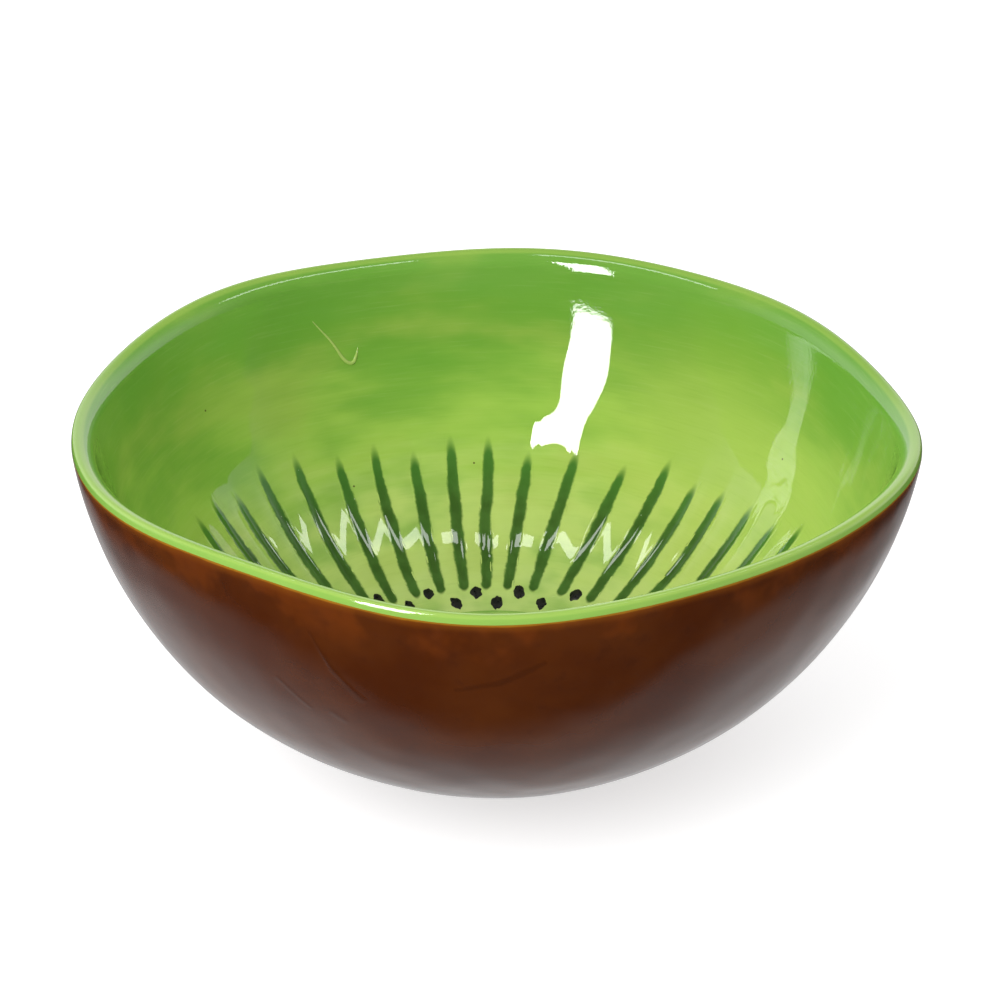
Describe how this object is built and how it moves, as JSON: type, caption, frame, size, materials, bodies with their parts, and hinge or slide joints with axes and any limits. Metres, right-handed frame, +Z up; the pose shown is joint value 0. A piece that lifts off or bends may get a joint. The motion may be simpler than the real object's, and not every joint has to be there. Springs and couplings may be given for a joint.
{
  "type": "ceramic bowl",
  "caption": "Round hand-made ceramic bowl on a low foot ring, glazed brown outside and green inside, painted as a halved kiwi fruit with raised strokes and seeds.",
  "frame": {"origin": "centre of the foot ring, on the surface that the bowl stands on", "axes": "+Z is up out of the bowl's mouth, -Y faces the viewer and +X is to the viewer's right"},
  "size_m": [0.16, 0.1622, 0.0719],
  "materials": {
    "clay": "bare fired clay",
    "brown_glaze": "glossy brown glaze",
    "green_glaze": "glossy brushed green glaze",
    "pale_glaze": "glossy pale green glaze",
    "stroke_paint": "raised dark green glaze",
    "seed_paint": "raised black glaze"
  },
  "bodies": {
    "root": {"clay_body": "clay", "outer_glaze": "brown_glaze", "inner_glaze": "green_glaze", "base_glaze": "brown_glaze", "core_glaze": "pale_glaze", "stroke_01": "stroke_paint", "stroke_02": "stroke_paint", "stroke_03": "stroke_paint", "stroke_04": "stroke_paint", "stroke_05": "stroke_paint", "stroke_06": "stroke_paint", "stroke_07": "stroke_paint", "stroke_08": "stroke_paint", "stroke_09": "stroke_paint", "stroke_10": "stroke_paint", "stroke_11": "stroke_paint", "stroke_12": "stroke_paint", "stroke_13": "stroke_paint", "stroke_14": "stroke_paint", "stroke_15": "stroke_paint", "stroke_16": "stroke_paint", "stroke_17": "stroke_paint", "stroke_18": "stroke_paint", "stroke_19": "stroke_paint", "stroke_20": "stroke_paint", "stroke_21": "stroke_paint", "stroke_22": "stroke_paint", "stroke_23": "stroke_paint", "stroke_24": "stroke_paint", "stroke_25": "stroke_paint", "stroke_26": "stroke_paint", "stroke_27": "stroke_paint", "stroke_28": "stroke_paint", "stroke_29": "stroke_paint", "stroke_30": "stroke_paint", "stroke_31": "stroke_paint", "stroke_32": "stroke_paint", "stroke_33": "stroke_paint", "stroke_34": "stroke_paint", "stroke_35": "stroke_paint", "stroke_36": "stroke_paint", "stroke_37": "stroke_paint", "stroke_38": "stroke_paint", "stroke_39": "stroke_paint", "stroke_40": "stroke_paint", "stroke_41": "stroke_paint", "stroke_42": "stroke_paint", "stroke_43": "stroke_paint", "stroke_44": "stroke_paint"}
  },
  "joints": []
}
